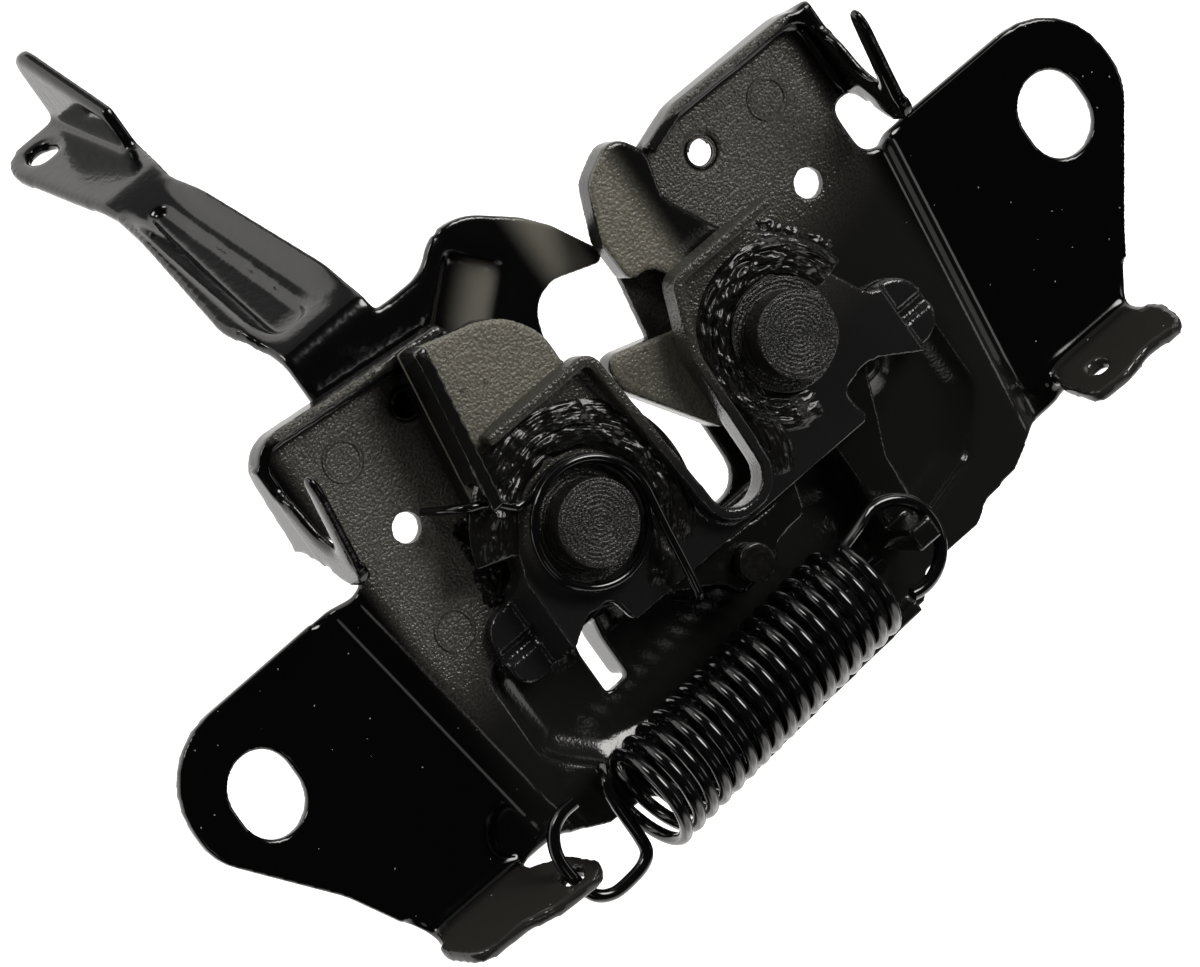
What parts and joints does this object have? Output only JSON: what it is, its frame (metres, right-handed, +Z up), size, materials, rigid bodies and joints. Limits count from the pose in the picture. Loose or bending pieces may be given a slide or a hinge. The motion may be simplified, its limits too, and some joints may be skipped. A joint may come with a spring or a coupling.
{
  "type": "bonnet latch",
  "caption": "Stamped bonnet latch: a slotted base with ears, a forked catch and a pawl under a riveted front plate, a tension spring, and a safety hook with a folded handle.",
  "frame": {"origin": "midway between the two mounting slots, on the face of the ears that meets the car body", "axes": "+X to the right along the line of the slots, +Y rearward out of the mounting face, +Z up, the way the striker leaves"},
  "size_m": [0.1732, 0.0838, 0.1276],
  "materials": {
    "black_paint": "gloss black dip coat",
    "rivet_steel": "satin black",
    "shim_steel": "satin black",
    "spring_wire": "gloss black"
  },
  "bodies": {
    "frame": {"base_plate": "black_paint", "front_plate": "black_paint", "catch_rivet": "rivet_steel", "pawl_rivet": "rivet_steel", "catch_rear_washer": "shim_steel", "catch_front_washer": "shim_steel", "pawl_rear_washer": "shim_steel", "pawl_front_washer": "shim_steel", "catch_head_washer": "shim_steel", "pawl_spring_collar": "shim_steel", "safety_front_washer": "shim_steel", "safety_rear_washer": "shim_steel", "safety_spring_collar": "shim_steel", "main_spring": "spring_wire", "pawl_spring": "spring_wire", "safety_spring": "spring_wire"},
    "catch": {"catch_lever": "black_paint"},
    "pawl": {"pawl_lever": "black_paint", "pawl_stud": "rivet_steel"},
    "safety": {"safety_lever": "black_paint"}
  },
  "joints": [
    {"name": "catch_turn", "type": "hinge", "parent": "frame", "child": "catch", "pos_m": [0.0195, -0.00735, 0.0046], "axis": [0, -1, 0], "range_deg": [0, 28], "stiffness_Nm_per_rad": 0.4, "springref_deg": -28.65, "deforming": ["main_spring"]},
    {"name": "pawl_turn", "type": "hinge", "parent": "frame", "child": "pawl", "pos_m": [-0.0195, -0.00735, 0.0028], "axis": [0, -1, 0], "range_deg": [-3, 5.5], "stiffness_Nm_per_rad": 0.3, "deforming": ["pawl_spring"]},
    {"name": "safety_turn", "type": "hinge", "parent": "frame", "child": "safety", "pos_m": [-0.0195, -0.00145, 0.0028], "axis": [0, -1, 0], "range_deg": [0, 18], "stiffness_Nm_per_rad": 0.25, "springref_deg": -22.92, "deforming": ["safety_spring"]}
  ]
}
